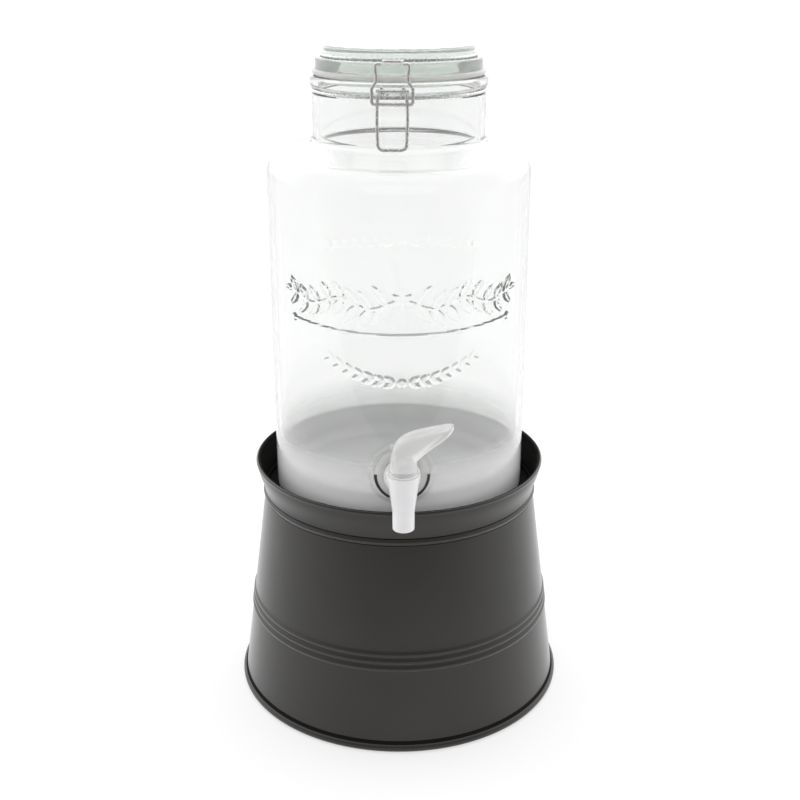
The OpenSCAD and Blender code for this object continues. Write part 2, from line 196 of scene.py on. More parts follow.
def spin(bm, line, angles, ring=False, shape=None):
    """Turns a line of (r, z) round the Z axis. A ring joins the line's end to its start."""
    rows = []
    for r, z in line:
        row = []
        for angle in angles:
            place = Vector((r * math.sin(angle), -r * math.cos(angle), z))
            row.append(bm.verts.new(shape(place, angle) if shape else place))
        rows.append(row)
    join_rings(bm, rows, ring)
    return rows


def even_angles(count):
    return [2 * math.pi * i / count for i in range(count)]


def lathe(name, line, count=128, ring=True, move=(0, 0, 0), turned=None):
    bm = bmesh.new()
    spin(bm, line, even_angles(count), ring)
    if turned is not None:
        bmesh.ops.transform(bm, matrix=turned, verts=bm.verts)
    bmesh.ops.translate(bm, vec=move, verts=bm.verts)
    return finish_mesh(name, bm)


def lathe_y(name, line, count=96, ring=False):
    """A lathed piece about the tap's shank: the line's points are (r, y)."""
    return lathe(name, line, count, ring, (0, 0, TAP_Z), Matrix.Rotation(-math.pi / 2, 4, "X"))


def lathe_barrel(name, line, count=96, ring=False):
    """A lathed piece about the upright axis of the tap's barrel."""
    return lathe(name, line, count, ring, (0, BARREL_Y, 0))


# ---- Wires ----

def bent(points, radius=3.0, steps=8):
    """A path through 3-D corners, each rounded by an arc."""
    path = [Vector(points[0])]
    for before, here, after in zip(points, points[1:], points[2:]):
        here = Vector(here)
        back, on = Vector(before) - here, Vector(after) - here
        half = back.angle(on) / 2
        if half > math.radians(89):
            path.append(here)
            continue
        reach = min(radius / math.tan(half), 0.48 * back.length, 0.48 * on.length)
        r = reach * math.tan(half)
        back.normalize()
        on.normalize()
        centre = here + (back + on).normalized() * (r / math.sin(half))
        a = here + back * reach - centre
        spin_axis = back.cross(on).normalized()
        sweep = math.pi - 2 * half
        for k in range(steps + 1):
            path.append(centre + Matrix.Rotation(-sweep * k / steps, 3, spin_axis) @ a)
    path.append(Vector(points[-1]))
    return path


def sweep_tube(bm, path, radius, sides=14, closed=False):
    """A round tube along a path, with rounded ends unless the path is closed."""
    points = [Vector(p) for p in path]
    n = len(points)
    if closed:
        tangents = [(points[(i + 1) % n] - points[i - 1]).normalized() for i in range(n)]
    else:
        tangents = [(points[min(i + 1, n - 1)] - points[max(i - 1, 0)]).normalized()
                    for i in range(n)]
    normal = tangents[0].orthogonal().normalized()
    frames = []
    for i, t in enumerate(tangents):
        if i:
            normal = (tangents[i - 1].rotation_difference(t) @ normal).normalized()
        frames.append(normal)
    stations = [(p, f, t, radius) for p, f, t in zip(points, frames, tangents)]
    if not closed:
        for end, sign in ((0, -1), (-1, 1)):
            p, f, t, _ = stations[end]
            caps = []
            for share in (0.5, 0.85, 0.98):
                caps.append((p + t * sign * radius * 0.7 * share, f, t,
                             radius * math.sqrt(1 - share * share)))
            stations = caps[::-1] + stations if end == 0 else stations + caps
    rings = []
    for p, f, t, r in stations:
        side = t.cross(f)
        rings.append([bm.verts.new(p + (f * math.cos(a) + side * math.sin(a)) * r)
                      for a in even_angles(sides)])
    join_rings(bm, rings, closed)
    if not closed:
        close_ends(bm, rings)


def circle_path(r, z, count=160):
    return [Vector((r * math.sin(a), -r * math.cos(a), z)) for a in even_angles(count)]


def turn_about_neck(bm):
    bmesh.ops.rotate(bm, cent=(0, 0, 0), matrix=Matrix.Rotation(CLOSURE_TURN, 3, "Z"),
                     verts=bm.verts)


def wires(name, strands):
    """One piece of several bent wires: (path, radius, closed)."""
    bm = bmesh.new()
    for path, radius, closed in strands:
        sweep_tube(bm, path, radius, closed=closed)
    turn_about_neck(bm)
    return finish_mesh(name, bm)


def loop_round(centre, start, end, x0, x1, reach=2 * WIRE_R + FIT, steps=20):
    """A coil about a pivot that lies along X, from one angle to another, in degrees."""
    points = []
    for k in range(steps + 1):
        share = k / steps
        a = math.radians(start + (end - start) * share)
        points.append(Vector((x0 + (x1 - x0) * share,
                              centre[1] + reach * math.cos(a), centre[2] + reach * math.sin(a))))
    return points


# ---- Camera, light and floor ----

def set_camera():
    data = bpy.data.cameras.new("camera")
    data.lens = 55.4
    data.sensor_width = 36
    camera = bpy.data.objects.new("camera", data)
    camera.location = (-0.0187, -0.8562, 0.5417)
    camera.rotation_euler = (math.radians(69.54), 0, math.radians(-1.30))
    bpy.context.scene.collection.objects.link(camera)
    bpy.context.scene.camera = camera


# Light from the room: (place, level), from the -Y side round to the +Y side
ROOM = ((0.10, 0.16), (0.46, 0.95), (0.66, 1.8), (0.86, 1.95), (1.0, 1.8))


def set_world():
    """White for the eye and through glass. What lights the object is darker on its -Y side."""
    world = bpy.data.worlds.new("studio")
    world.use_nodes = True
    bpy.context.scene.world = world
    nodes, links = world.node_tree.nodes, world.node_tree.links
    nodes.clear()
    out = nodes.new("ShaderNodeOutputWorld")
    seen = nodes.new("ShaderNodeBackground")
    seen.inputs["Color"].default_value = (1, 1, 1, 1)
    seen.inputs["Strength"].default_value = 1.05
    room = nodes.new("ShaderNodeBackground")
    room.inputs["Strength"].default_value = 1.0
    place = nodes.new("ShaderNodeTexCoord")
    split = nodes.new("ShaderNodeSeparateXYZ")
    ramp = nodes.new("ShaderNodeValToRGB")
    ramp.color_ramp.interpolation = "EASE"
    stops = ramp.color_ramp.elements
    while len(stops) < len(ROOM):
        stops.new(0.5)
    for stop, (position, level) in zip(stops, ROOM):
        stop.position = position
        stop.color = (level, level, level, 1)
    shift = nodes.new("ShaderNodeMath")
    shift.operation = "MULTIPLY_ADD"
    shift.inputs[1].default_value = 0.5
    shift.inputs[2].default_value = 0.5
    links.new(place.outputs["Generated"], split.inputs[0])
    links.new(split.outputs["Y"], shift.inputs[0])
    links.new(shift.outputs[0], ramp.inputs[0])
    links.new(ramp.outputs["Color"], room.inputs["Color"])
    path = nodes.new("ShaderNodeLightPath")
    mix = nodes.new("ShaderNodeMixShader")
    either = nodes.new("ShaderNodeMath")
    either.operation = "ADD"
    links.new(path.outputs["Is Transmission Ray"], either.inputs[0])
    links.new(path.outputs["Is Camera Ray"], either.inputs[1])
    links.new(either.outputs[0], mix.inputs[0])
    links.new(room.outputs[0], mix.inputs[1])
    links.new(seen.outputs[0], mix.inputs[2])
    links.new(mix.outputs[0], out.inputs[0])


def area_light(name, at, towards, size, power):
    data = bpy.data.lights.new(name, "AREA")
    data.shape = "RECTANGLE"
    data.size, data.size_y = size
    data.energy = power
    lamp = bpy.data.objects.new(name, data)
    lamp.location = at
    aim = Vector(towards) - Vector(at)
    lamp.rotation_euler = aim.to_track_quat("-Z", "Y").to_euler()
    bpy.context.scene.collection.objects.link(lamp)
    return lamp


def set_lights():
    area_light("softbox_top", (0, 0.1, 1.9), (0, 0, 0), (2.4, 2.4), 6)
    # A fill from the camera's side that gives no reflection of its own
    fill = area_light("softbox_front", (0, -2.4, 1.3), (0, 0, 0.25), (3.2, 2.2), 22)
    fill.visible_glossy = False


FLOOR_HALF = 25000
FLOOR_FRONT_Y = -620         # the floor ends in front of the object, out of the camera's view
FLOOR_DROP = 0.2             # keeps the floor's face clear of the stand's


def set_floor():
    bm = bmesh.new()
    bmesh.ops.create_grid(bm, x_segments=8, y_segments=8, size=FLOOR_HALF)
    bmesh.ops.translate(bm, vec=(0, FLOOR_HALF + FLOOR_FRONT_Y, 0), verts=bm.verts)
    floor = finish_mesh("floor", bm)
    floor.location.z = -FLOOR_DROP * MM
    floor.data.materials.append(floor_material())


# ---- Materials ----

def material(name, **values):
    """A node material with one Principled shader, whose plain sockets are set from values."""
    made = bpy.data.materials.new(name)
    made.use_nodes = True
    shader = made.node_tree.nodes["Principled BSDF"]
    for socket, value in values.items():
        shader.inputs[socket.replace("_", " ")].default_value = value
    return made, shader


def noise(mat, scale, detail=4, roughness=0.5, stretch=(1, 1, 1)):
    nodes, links = mat.node_tree.nodes, mat.node_tree.links
    place = nodes.new("ShaderNodeTexCoord")
    mapping = nodes.new("ShaderNodeMapping")
    mapping.inputs["Scale"].default_value = stretch
    texture = nodes.new("ShaderNodeTexNoise")
    texture.inputs["Scale"].default_value = scale
    texture.inputs["Detail"].default_value = detail
    texture.inputs["Roughness"].default_value = roughness
    links.new(place.outputs["Object"], mapping.inputs["Vector"])
    links.new(mapping.outputs["Vector"], texture.inputs["Vector"])
    return texture.outputs["Fac"]


def ramp(mat, source, stops):
    """Colours by a value: (position, colour) stops."""
    node = mat.node_tree.nodes.new("ShaderNodeValToRGB")
    mat.node_tree.links.new(source, node.inputs[0])
    elements = node.color_ramp.elements
    while len(elements) < len(stops):
        elements.new(0.5)
    for element, (position, colour) in zip(elements, stops):
        element.position = position
        element.color = (*colour, 1)
    return node.outputs["Color"]


def ranged(mat, source, low, high):
    node = mat.node_tree.nodes.new("ShaderNodeMapRange")
    node.inputs["To Min"].default_value = low
    node.inputs["To Max"].default_value = high
    mat.node_tree.links.new(source, node.inputs["Value"])
    return node.outputs["Result"]


def eased(mat, axis, start, end, first, last):
    """A value that eases from first to last along an axis, between two places in metres."""
    nodes, links = mat.node_tree.nodes, mat.node_tree.links
    place = nodes.new("ShaderNodeTexCoord")
    split = nodes.new("ShaderNodeSeparateXYZ")
    slide = nodes.new("ShaderNodeMapRange")
    slide.interpolation_type = "SMOOTHSTEP"
    slide.inputs["From Min"].default_value = start
    slide.inputs["From Max"].default_value = end
    slide.inputs["To Max"].default_value = last
    if isinstance(first, float):
        slide.inputs["To Min"].default_value = first
    else:
        links.new(first, slide.inputs["To Min"])
    links.new(place.outputs["Object"], split.inputs[0])
    links.new(split.outputs[axis], slide.inputs["Value"])
    return slide.outputs["Result"]


def bump(mat, shader, source, strength, distance):
    node = mat.node_tree.nodes.new("ShaderNodeBump")
    node.inputs["Strength"].default_value = strength
    node.inputs["Distance"].default_value = distance
    mat.node_tree.links.new(source, node.inputs["Height"])
    mat.node_tree.links.new(node.outputs["Normal"], shader.inputs["Normal"])


def connect(mat, source, shader, socket):
    mat.node_tree.links.new(source, shader.inputs[socket])


def floor_material():
    mat, shader = material("pale_floor", Roughness=0.9)
    shader.inputs["Specular IOR Level"].default_value = 0.0
    shader.inputs["Emission Color"].default_value = (1, 1, 1, 1)
    shader.inputs["Emission Strength"].default_value = 0.58
    connect(mat, ramp(mat, noise(mat, 3), [(0.3, (0.4, 0.4, 0.4)), (0.7, (0.42, 0.42, 0.42))]),
            shader, "Base Color")
    return mat


def paint_material():
    mat, shader = material("satin_paint", IOR=1.5)
    shader.inputs["Sheen Weight"].default_value = 0.75
    shader.inputs["Sheen Roughness"].default_value = 0.3
    cloud = noise(mat, 14, 3)
    connect(mat, ramp(mat, cloud, [(0.3, (0.014, 0.0122, 0.0108)), (0.7, (0.019, 0.0167, 0.0148))]),
            shader, "Base Color")
    connect(mat, ranged(mat, noise(mat, 60, 5), 0.36, 0.44), shader, "Roughness")
    bump(mat, shader, noise(mat, 900, 2), 0.25, 0.00004)
    return mat


# The inner paint is matt, and darker than the outer paint as painted shade for the stand's shadowed
# inside
def shaded_inner_paint_material():
    mat, shader = material("matt_inner_paint_painted_shade", Roughness=0.8)
    shader.inputs["Specular IOR Level"].default_value = 0.12
    cloud = noise(mat, 25, 4)
    connect(mat, ramp(mat, cloud, [(0.3, (0.005, 0.0045, 0.004)), (0.7, (0.008, 0.007, 0.006))]),
            shader, "Base Color")
    bump(mat, shader, noise(mat, 700, 3), 0.3, 0.00005)
    return mat


# The jar's foot: how clear its glass is in front and behind, and where that changes, in metres. The
# extra milkiness in front is painted light, for the glow its heel catches from the front
FOOT_CLARITY = (0.0, 0.45)
FOOT_Y = (-0.06, -0.01)
FOOT_Z = (0.18, 0.219)


def glass_material(name, tint, clarity, roughness, milky_foot_painted_glow=False):
    """Glass. With a milky foot it is less clear near its base, and least of all in front, where the
    extra white is painted light.
    """
    mat, shader = material(name, IOR=1.48, Roughness=roughness)
    if milky_foot_painted_glow:
        foot = eased(mat, "Y", *FOOT_Y, *FOOT_CLARITY)
        connect(mat, eased(mat, "Z", *FOOT_Z, foot, clarity), shader, "Transmission Weight")
    else:
        shader.inputs["Transmission Weight"].default_value = clarity
    connect(mat,
            ramp(mat, noise(mat, 9, 2), [(0.3, tint), (0.7, [min(1, c * 1.01) for c in tint])]),
            shader, "Base Color")
    bump(mat, shader, noise(mat, 22, 1, stretch=(1, 1, 0.5)), 0.3, 0.00025)
    return mat


def steel_material():
    mat, shader = material("wire_steel", Metallic=0.7)
    connect(mat,
            ramp(mat, noise(mat, 180, 4), [(0.3, (0.66, 0.66, 0.65)), (0.7, (0.74, 0.74, 0.73))]),
            shader, "Base Color")
    connect(mat, ranged(mat, noise(mat, 400, 4), 0.2, 0.34), shader, "Roughness")
    bump(mat, shader, noise(mat, 1400, 2), 0.06, 0.00002)
    return mat


def milky_material(name, colour, clarity, roughness):
    """Plastic or silicone that lets part of the light through."""
    mat, shader = material(name, IOR=1.49)
    shader.inputs["Transmission Weight"].default_value = clarity
    darker = [c * 0.96 for c in colour]
    connect(mat, ramp(mat, noise(mat, 70, 3), [(0.3, darker), (0.7, colour)]), shader, "Base Color")
    connect(mat, ranged(mat, noise(mat, 120, 4), roughness * 0.85, roughness * 1.15),
            shader, "Roughness")
    bump(mat, shader, noise(mat, 500, 2), 0.2, 0.00005)
    return mat


def rubber_material():
    mat, shader = material("seal_rubber", Roughness=0.7)
    connect(mat,
            ramp(mat, noise(mat, 300, 3), [(0.3, (0.02, 0.02, 0.02)), (0.7, (0.03, 0.03, 0.03))]),
            shader, "Base Color")
    bump(mat, shader, noise(mat, 2000, 2), 0.3, 0.00003)
    return mat


PAINT = paint_material()
SHADED_INNER_PAINT = shaded_inner_paint_material()
JAR_GLASS = glass_material("jar_glass", (0.975, 0.981, 0.976), 0.94, 0.02, milky_foot_painted_glow=True)
LID_GLASS = glass_material("lid_glass", (0.925, 0.965, 0.94), 0.8, 0.02)
STEEL = steel_material()
GASKET = milky_material("milky_gasket", (0.95, 0.945, 0.915), 0.55, 0.3)
TAP_PLASTIC = milky_material("milky_plastic", (0.99, 0.975, 0.99), 0.12, 0.25)
CLEAR_PLASTIC = milky_material("clear_plastic", (0.99, 0.99, 0.985), 0.6, 0.06)
WASHER = milky_material("clear_silicone", (0.95, 0.955, 0.94), 0.6, 0.12)
RUBBER = rubber_material()


def add(piece, body, slot, paint, *nodes):
    """Puts a finished piece on its body, in place of the CAD nodes that it stands for."""
    piece.data.materials.clear()
    piece.data.materials.append(paint)
    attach(piece, body)
    if nodes:
        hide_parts(*nodes)
    return piece


OUTWARD = 0.2                # share of its normal by which a face looks away from the stand's axis


def paint_inside_shade(piece):
    """Gives the faces that don't look outward the matt inner paint, whose darker colour is painted
    shade.
    """
    piece.data.materials.append(SHADED_INNER_PAINT)
    for face in piece.data.polygons:
        out = Vector((face.center.x, face.center.y, 0)).normalized()
        if face.normal.dot(out) < OUTWARD:
            face.material_index = 1


def dress(node, paint):
    """Gives a carried-over CAD node its material."""
    obj = frame["nodes"][node]
    obj.data.materials.clear()
    obj.data.materials.append(paint)


# ---- Stand ----

SHEET = 0.8
OPEN_R = 88                  # opening inside the flanges under the plate
FOOT_ROLL_R = 3.2
FOOT_ROLL_X = skirt_high.x - FOOT_ROLL_R
FOOT_ROLL_Z = FOOT_ROLL_R - 0.2
SKIRT_H = skirt_high.z
SKIRT_TOP_R = 101.15
SKIRT_FOOT_R = FOOT_ROLL_X + 1
FACE_ABOVE_BEADS = (152.6, 152, 150, 120, 90, 80)
FACE_BELOW_BEADS = (58, 40, 20, 10, 6)
BEADS = (62.8, 68.1, 73.4)
BEAD_R = 2.7
BEAD_SINK = 1.7              # depth of a bead's centre inside the face
BEAD_HALF = math.sqrt(BEAD_R ** 2 - BEAD_SINK ** 2)
SEAM_HALF = 3.5 / 110        # half the lap's width, in radians
SEAM_EDGE = 0.002
SEAM_RISE = 0.7
SEAM_Z = (8, 151)


def skirt_r(z):
    return SKIRT_FOOT_R + (SKIRT_TOP_R - SKIRT_FOOT_R) * z / SKIRT_H


def bead_rise(z):
    rise = 0
    for centre in BEADS:
        if abs(z - centre) < BEAD_HALF:
            rise = max(rise, math.sqrt(BEAD_R ** 2 - (z - centre) ** 2) - BEAD_SINK)
    return rise


def skirt_line():
    """The sheet from the flange under the plate, down the face and round the foot's roll."""
    heights = list(FACE_ABOVE_BEADS)
    for centre in reversed(BEADS):
        heights += [centre + BEAD_HALF * (1.12 - 2.24 * k / 18) for k in range(19)]
    heights += FACE_BELOW_BEADS
    outer = [Vector((skirt_r(z) + bead_rise(z), z)) for z in heights]
    centre = Vector((FOOT_ROLL_X, FOOT_ROLL_Z))
    roll = [Vector((p.x, max(p.y, 0))) for p in arc(centre, FOOT_ROLL_R, 42, -288, 28)]
    back = arc(centre, FOOT_ROLL_R - SHEET, -288, 42, 28)
    inner = [Vector((p.x - SHEET, p.y)) for p in reversed(outer)]
    top = [Vector((OPEN_R, SKIRT_H - SHEET)), Vector((OPEN_R, SKIRT_H)),
           Vector((SKIRT_TOP_R - 0.6, SKIRT_H))]
    return outer + roll + back + inner[1:] + top


def seam_angles():
    """Even steps, with close ones at the two edges of the lap at the back."""
    angles = [math.pi - SEAM_HALF - SEAM_EDGE, math.pi - SEAM_HALF,
              math.pi + SEAM_HALF, math.pi + SEAM_HALF + SEAM_EDGE]
    for angle in even_angles(180):
        if abs(abs(angle - math.pi) - SEAM_HALF) > 2 * SEAM_EDGE:
            angles.append(angle)
    return sorted(angles)


def lap(place, angle):
    """Raises the outer face by the second sheet where the skirt's ends overlap."""
    if abs(angle - math.pi) > SEAM_HALF + SEAM_EDGE / 2 or not SEAM_Z[0] <= place.z <= SEAM_Z[1]:
        return place
    r = math.hypot(place.x, place.y)
    if r <= skirt_r(place.z) - 0.3:
        return place
    return Vector((place.x * (r + SEAM_RISE) / r, place.y * (r + SEAM_RISE) / r, place.z))


def make_skirt():
    bm = bmesh.new()
    spin(bm, skirt_line(), seam_angles(), ring=True, shape=lap)
    paint_inside_shade(add(finish_mesh("skirt", bm), "stand", "dark_paint", PAINT, "stand_skirt"))


COLLAR_Z = SKIRT_H
LOCK_R = 2.3                 # the bead where the collar grips the skirt
LOCK_X = 100.1
LOCK_Z = COLLAR_Z + 0.4 + LOCK_R
GROOVE_R, GROOVE_Z = 100.4, 158.25    # the groove rolled in over that bead
RIM_R = 1.5
RIM_X = collar_high.x - RIM_R
RIM_Z = collar_high.z - RIM_R


def collar_line():
    """The sheet from the flange under the plate, round the bead, up the flare and round the rim."""
    lock = Vector((LOCK_X, LOCK_Z))
    bead = arc(lock, LOCK_R, -52, 76, 14)
    bead_in = arc(lock, LOCK_R - SHEET, 76, -90, 14)
    foot_r, top_r = skirt_r(COLLAR_Z) + 0.2, collar_high.x - 0.6
    foot_z = LOCK_Z + LOCK_R - 0.6
    flare = []
    for k in range(1, 17):
        t = k / 17
        flare.append(Vector((foot_r + (top_r - foot_r) * ease(t), foot_z + (RIM_Z - foot_z) * t)))
    flare_in = [Vector((p.x - SHEET, p.y)) for p in reversed(flare)]
    # The rim turns outward: its roll lies outside the flare's face
    roll = Vector((RIM_X, RIM_Z))
    rim = arc(roll, RIM_R, -18, 300, 26)
    rim_in = arc(roll, RIM_R - SHEET, 300, -18, 26)
    groove = [Vector((GROOVE_R, GROOVE_Z))]
    groove_in = [Vector((GROOVE_R - SHEET, GROOVE_Z))]
    flange = [Vector((OPEN_R, COLLAR_Z)), Vector((101, COLLAR_Z))]
    flange_in = [Vector((OPEN_R, COLLAR_Z + SHEET))]
    return (flange + bead + groove + flare + rim
            + rim_in + flare_in + groove_in + bead_in + flange_in)


def make_collar():
    paint_inside_shade(add(lathe("collar", collar_line(), 200),
                     "stand", "dark_paint", PAINT, "stand_collar"))


def make_plate():
    r = plate_high.x
    line = filleted([
        (0, plate_low.z), (r, plate_low.z, 0.3), (r, plate_high.z, 0.3), (0, plate_high.z),
    ], 3)
    # The plate gets the darker inner paint as painted shade
    add(lathe("jar_plate", line, 160, ring=False),
        "stand", "dark_paint", SHADED_INNER_PAINT, "stand_plate")


# ---- Jar ----

SHOULDER = math.radians(20)
SHOULDER_SLOPE = math.tan(SHOULDER)
BODY_CORNER_Z = 403.2        # where the wall's line meets the shoulder's slope
NECK_CORNER_Z = BODY_CORNER_Z + (JAR_R - NECK_R) * SHOULDER_SLOPE
NECK_BORE = NECK_R - 4.3
LIP_R = 60.4
LIP_TOP_R = 57               # middle of the lip's top face
LIP_GROOVE_R = 57.9
BASE_T = 9
PUNT_R, PUNT_H = 68, 4       # the hollow under the base
HEEL_R = 76


def jar_outside():
    return filleted([
        (0, JAR_Z + PUNT_H), (PUNT_R, JAR_Z + PUNT_H, 6), (HEEL_R, JAR_Z, 4), (JAR_R, JAR_Z, 10),
        (JAR_R, BODY_CORNER_Z, 16), (NECK_R, NECK_CORNER_Z, 3.4),
        (NECK_R, LIP_Z - 11.6, 0.8), (LIP_GROOVE_R, LIP_Z - 10.6, 0.8),
        (LIP_GROOVE_R, LIP_Z - 8, 0.8), (LIP_R, LIP_Z - 6.6, 1.2), (LIP_R, LIP_Z, 2),
        (LIP_TOP_R, LIP_Z),
    ], 8)


def jar_inside():
    bore_r = JAR_R - WALL
    corner = BODY_CORNER_Z - WALL / math.cos(SHOULDER) + WALL * SHOULDER_SLOPE
    neck_corner = corner + (bore_r - NECK_BORE) * SHOULDER_SLOPE
    return filleted([
        (LIP_TOP_R, LIP_Z), (NECK_BORE, LIP_Z, 1.4), (NECK_BORE, neck_corner, 9),
        (bore_r, corner, 12), (bore_r, JAR_Z + BASE_T, 8), (0, JAR_Z + BASE_T),
    ], 8)


LONG_WALL = 60               # a stretch longer than this is the jar's straight wall


def with_rows(line, heights):
    """Adds rows to the line's one long straight wall."""
    made = []
    for a, b in zip(line, line[1:]):
        made.append(a)
        if abs(b.y - a.y) > LONG_WALL and a.x > JAR_R - WALL - 1:
            made += [Vector((a.x, z)) for z in (heights if b.y > a.y else reversed(heights))]
    made.append(line[-1])
    return made


def even_steps(low, high, step):
    """Even steps from low up to high, without high itself."""
    count = round((high - low) / step)
    return [low + (high - low) * i / count for i in range(count)]


BOSS_ROWS = (180.0, 228.0)
RELIEF_ROWS = (256.0, 372.0)
RELIEF_HALF = 1.06           # radians of the jar's front that carry the relief
FINE = 0.0072                # radians between columns there
COARSE = 0.045               # and between columns elsewhere
HOLE_R = 8.3                 # hole for the tap's shank
BOSS_R, BOSS_EDGE = 23.5, 3.4
BOSS_REACH = 26              # beyond this the wall is left as it is


def jar_angles():
    return (even_steps(-RELIEF_HALF, RELIEF_HALF, FINE)
            + even_steps(RELIEF_HALF, 2 * math.pi - RELIEF_HALF, COARSE))


def jar_shape(place, angle):
    """Flattens the boss that the tap seals on, with a soft edge."""
    if math.hypot(place.x, place.y) < JAR_R - 0.5:
        return place
    near = math.hypot(place.x, place.z - TAP_Z)
    if place.y > 0 or near > BOSS_REACH:
        return place
    t = min(1, max(0, (BOSS_R - near) / BOSS_EDGE))
    flat = Vector((place.x, PAD_Y, place.z))
    return place.lerp(flat, ease(t))


# The moulded relief is a leaf garland: x runs round the front of the jar and z is the height

EDGE = 0.6                   # width of the relief's sloping edge
VEIN_HALF = 0.55
STEM_Z, STEM_WAVE = 321, 3
STEM_TURN = 21               # length of the stem from a crest to the next hollow
STEM_HALF = 84
FLOWER_Z = 324
LINE_Z, LINE_HALF, LINE_RISE = 300.5, 82, 4
GARLAND_H = 1.5
UPPER_Z, LOWER_Z = 364, 268  # middles of the two sprigs
SPRIG_HALF = 54
SPRIG_H = 0.7


def raised(inside):
    """Turns a depth inside an outline into a share of the relief's full height."""
    return ease(np.clip(inside / EDGE + 0.5, 0, 1))


def leaf(x, z, at, aim, length, width, vein=0.0):
    """A pointed leaf from its stalk, in the direction aim, with a groove along its middle."""
    along = (x - at[0]) * math.cos(aim) + (z - at[1]) * math.sin(aim)
    across = (z - at[1]) * math.cos(aim) - (x - at[0]) * math.sin(aim)
    share = np.clip(along / length, 0, 1)
    half = width / 2 * np.sin(math.pi * share ** 0.8)
    inside = np.where((along > 0) & (along < length), half - np.abs(across), -EDGE)
    return raised(inside) * (1 - vein * np.exp(-(across / VEIN_HALF) ** 2))


def bar(x, z, points, width):
    """A line of even width with round ends."""
    best = np.full(x.shape, 1e3)
    for a, b in zip(points, points[1:]):
        dx, dz = b[0] - a[0], b[1] - a[1]
        share = np.clip(((x - a[0]) * dx + (z - a[1]) * dz) / (dx * dx + dz * dz), 0, 1)
        best = np.minimum(best, np.hypot(x - a[0] - share * dx, z - a[1] - share * dz))
    return raised(width / 2 - best)


def stem_point(s):
    return (s, STEM_Z + STEM_WAVE * math.cos(s * math.pi / STEM_TURN))


def heading(side, lean):
    """The direction of a leaf that leans off the X axis, on the right or the left side."""
    return lean if side > 0 else math.pi - lean


def garland(x, z):
    """The middle garland: a waving stem with leaves to both sides, a flower and a line below."""
    shapes = [bar(x, z, [stem_point(s) for s in np.linspace(-STEM_HALF, STEM_HALF, 85)], 2.0)]
    for k in range(8):
        size = 17 - 0.6 * k
        for side in (-1, 1):
            at = stem_point(side * (10 + 9.6 * k))
            for lean in (0.9, -0.9):
                shapes.append(leaf(x, z, at, heading(side, lean), size, size * 0.42, 0.5))
    for k in range(6):
        shapes.append(leaf(x, z, (0, FLOWER_Z), math.pi * (k + 0.5) / 3, 8.5, 4.4, 0.4))
    shapes.append(raised(2.2 - np.hypot(x, z - FLOWER_Z)))
    line = [(s, LINE_Z + LINE_RISE * (s / LINE_HALF) ** 2)
            for s in np.linspace(-LINE_HALF, LINE_HALF, 41)]
    shapes.append(bar(x, z, line, 2.2))
    for side in (-1, 1):
        shapes.append(leaf(x, z, (side * 83, STEM_Z + STEM_WAVE), heading(side, 0), 9, 4.2, 0.5))
        shapes.append(raised(2.4 - np.hypot(x - side * LINE_HALF, z - LINE_Z - LINE_RISE)))
    return np.max(shapes, axis=0)


def sprig(x, z, centre, rise, length):
    """A row of small leaves along an arc, which point away from the middle."""
    shapes = [raised(2.6 - np.hypot(x, z - centre))]
    for k in range(7):
        for side in (-1, 1):
            s = side * (5 + 7 * k)
            at = (s, centre + rise * (s / SPRIG_HALF) ** 2)
            tilt = math.atan2(2 * rise * abs(s) / SPRIG_HALF, SPRIG_HALF)
            for lean in (0.5, -0.5):
                shapes.append(leaf(x, z, at, heading(side, tilt) + side * lean,
                                   length, length * 0.46))
    return np.max(shapes, axis=0)


def raise_relief(rows, line, angles):
    """Lifts the points of the front wall by the relief's height."""
    front = [i for i, angle in enumerate(angles) if abs(angle) <= RELIEF_HALF]
    band = [k for k, p in enumerate(line) if RELIEF_ROWS[0] <= p.y <= RELIEF_ROWS[1]
            and abs(p.x - JAR_R) < 0.01]
    x = np.array([angles[i] * JAR_R for i in front])[None, :]
    z = np.array([line[k].y for k in band])[:, None]
    x, z = np.broadcast_arrays(x, z)
    sprigs = np.maximum(sprig(x, z, UPPER_Z, -6, 7.5), sprig(x, z, LOWER_Z, 16, 8))
    height = np.maximum(GARLAND_H * garland(x, z), SPRIG_H * sprigs)
    for k, row in zip(band, height):
        for i, h in zip(front, row):
            rows[k][i].co.x *= 1 + h / JAR_R
            rows[k][i].co.y *= 1 + h / JAR_R


def make_jar():
    bm = bmesh.new()
    boss_rows = even_steps(*BOSS_ROWS, 1.0)
    middle_rows = even_steps(BOSS_ROWS[1], RELIEF_ROWS[0], 4.0)
    outside = with_rows(jar_outside(), boss_rows + middle_rows + even_steps(*RELIEF_ROWS, 0.65))
    angles = jar_angles()
    rows = spin(bm, outside, angles, shape=jar_shape)
    raise_relief(rows, outside, angles)
    spin(bm, with_rows(jar_inside(), boss_rows), angles)
    jar = finish_mesh("jar", bm)
    hole = [(0, PAD_Y - 3), (HOLE_R, PAD_Y - 3), (HOLE_R, PAD_Y + 12), (0, PAD_Y + 12)]
    combine(jar, lathe_y("hole", hole, 64), "DIFFERENCE")
    add(jar, "jar", "jar_glass", JAR_GLASS, "jar_glass")


# ---- Lid ----

LID_R = 56.6
DISC_R, DISC_H = 51, 7.7
HOLLOW_ROOF = 0.6            # the hollow's roof lies this far above the step
SLEEVE_R, SLEEVE_H = 52.6, 8
GASKET_R = (53.9, 58.5)


def turned_about_neck(obj):
    obj.data.transform(Matrix.Rotation(CLOSURE_TURN, 4, "Z"))
    return obj


